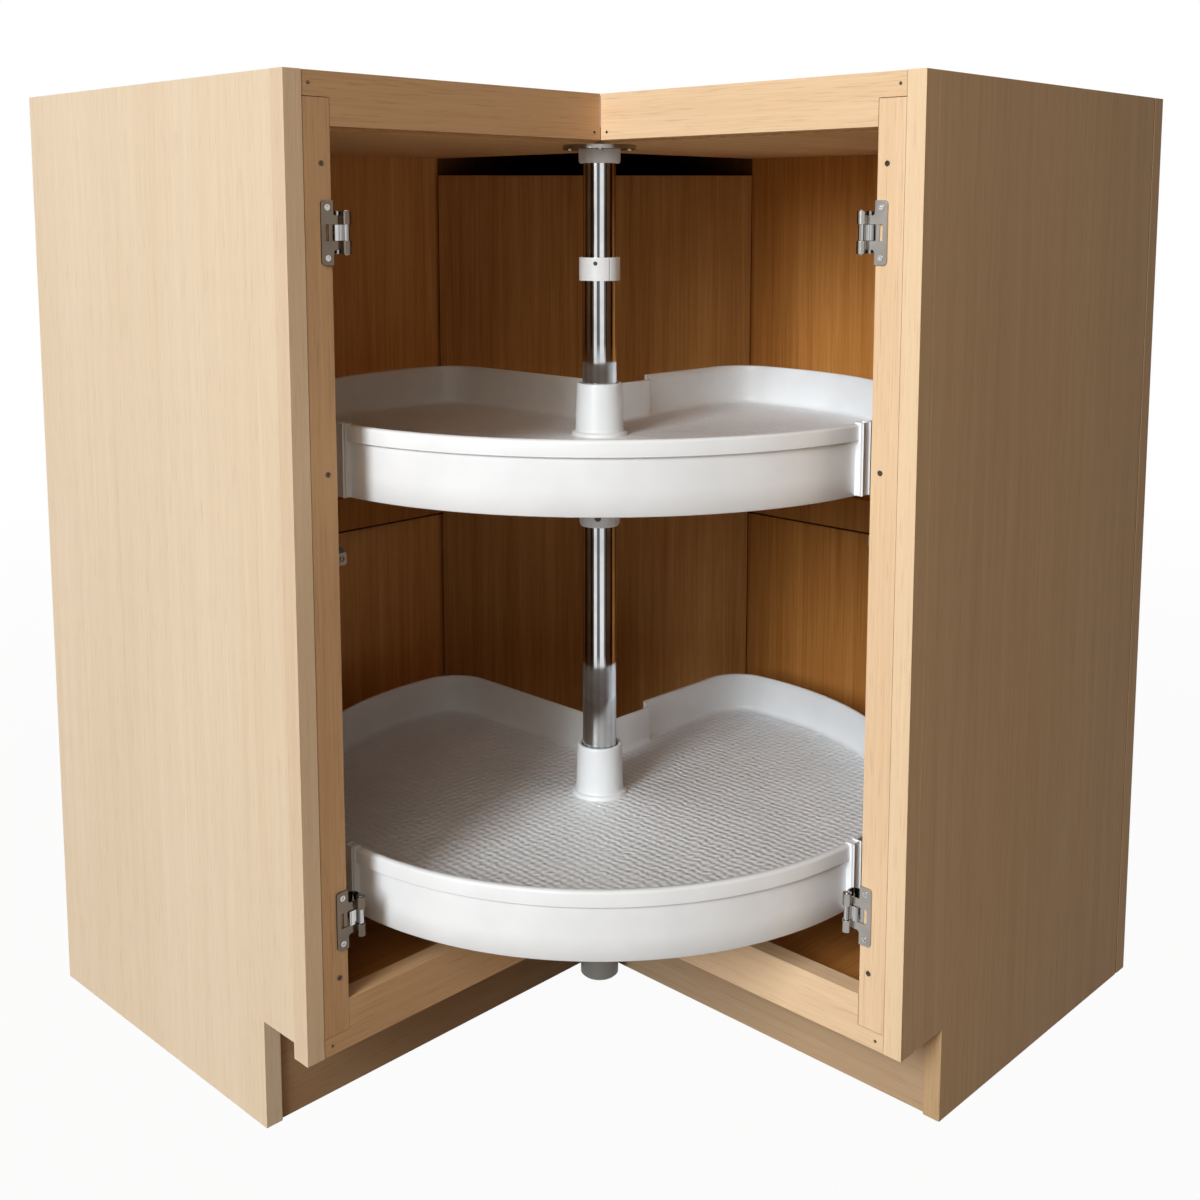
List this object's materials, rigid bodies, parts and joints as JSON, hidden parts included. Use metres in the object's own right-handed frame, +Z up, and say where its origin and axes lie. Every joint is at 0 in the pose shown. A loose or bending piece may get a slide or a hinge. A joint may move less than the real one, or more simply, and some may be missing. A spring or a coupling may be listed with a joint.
{
  "type": "corner carousel cabinet",
  "caption": "Maple corner base cabinet with an open notch front, white pie-cut carousel trays on a chrome post, toe notch and bare door hinges.",
  "frame": {"origin": "on the carousel post's axis at floor level", "axes": "+Z up; +X and +Y towards the two room walls; the notched front faces -X and -Y"},
  "size_m": [0.76, 0.76, 0.876],
  "materials": {
    "maple": "satin lacquer, fine straight grain",
    "inside_board": "warm brown laminated board",
    "tray_white": "white moulded plastic, softly grained",
    "chrome": "polished",
    "plated": "plated sheet",
    "screw": "plated screws",
    "black_plastic": "black",
    "grey_plastic": "grey"
  },
  "bodies": {
    "cabinet": {"end_panel_left": "maple", "end_panel_right": "maple", "corner_post_left": "maple", "corner_post_right": "maple", "stile_left": "maple", "stile_right": "maple", "top_rail_left": "maple", "top_rail_right": "maple", "bottom_rail_left": "maple", "bottom_rail_right": "maple", "toe_board_left": "maple", "toe_board_right": "maple", "top_panel": "inside_board", "floor_panel": "inside_board", "back_panel_left": "inside_board", "back_panel_right": "inside_board", "corner_panel": "inside_board", "corner_cover": "inside_board", "cleat_left": "inside_board", "cleat_right": "inside_board", "catch_left": "plated", "catch_right": "plated", "catch_body_left": "black_plastic", "catch_body_right": "black_plastic", "hinge_frame_ul": "plated", "hinge_frame_ur": "plated", "hinge_frame_ll": "plated", "hinge_frame_lr": "plated", "hinge_pins": "plated", "hinge_screws": "screw", "frame_screws": "screw", "frame_pins": "screw", "top_plate": "plated", "plate_screws": "screw", "bearing_cap": "tray_white", "upper_tube": "chrome", "lower_tube": "chrome", "post_clip": "tray_white", "clip_screw": "screw", "thrust_collar": "tray_white", "collar_screw": "black_plastic", "floor_socket": "tray_white", "socket_screws": "screw", "support_foot": "grey_plastic"},
    "upper_tray": {"upper_tray": "tray_white", "upper_bushes": "grey_plastic"},
    "lower_tray": {"lower_tray": "tray_white", "lower_bushes": "grey_plastic"},
    "door_leaf_ul": {"hinge_door_ul": "plated"},
    "door_leaf_ur": {"hinge_door_ur": "plated"},
    "door_leaf_ll": {"hinge_door_ll": "plated"},
    "door_leaf_lr": {"hinge_door_lr": "plated"}
  },
  "joints": [
    {"name": "upper_tray_spin", "type": "hinge", "parent": "cabinet", "child": "upper_tray", "pos_m": [0, 0, 0.556], "axis": [0, 0, 1], "continuous": true},
    {"name": "lower_tray_spin", "type": "hinge", "parent": "cabinet", "child": "lower_tray", "pos_m": [0, 0, 0.194], "axis": [0, 0, 1], "continuous": true},
    {"name": "hinge_ul", "type": "hinge", "parent": "cabinet", "child": "door_leaf_ul", "pos_m": [-0.3275, -0.044, 0.753], "axis": [0, 0, 1], "range_deg": [-168, 0]},
    {"name": "hinge_ur", "type": "hinge", "parent": "cabinet", "child": "door_leaf_ur", "pos_m": [-0.044, -0.3275, 0.753], "axis": [0, 0, 1], "range_deg": [0, 168]},
    {"name": "hinge_ll", "type": "hinge", "parent": "cabinet", "child": "door_leaf_ll", "pos_m": [-0.3275, -0.044, 0.1945], "axis": [0, 0, 1], "range_deg": [-168, 0]},
    {"name": "hinge_lr", "type": "hinge", "parent": "cabinet", "child": "door_leaf_lr", "pos_m": [-0.044, -0.3275, 0.1945], "axis": [0, 0, 1], "range_deg": [0, 168]}
  ]
}
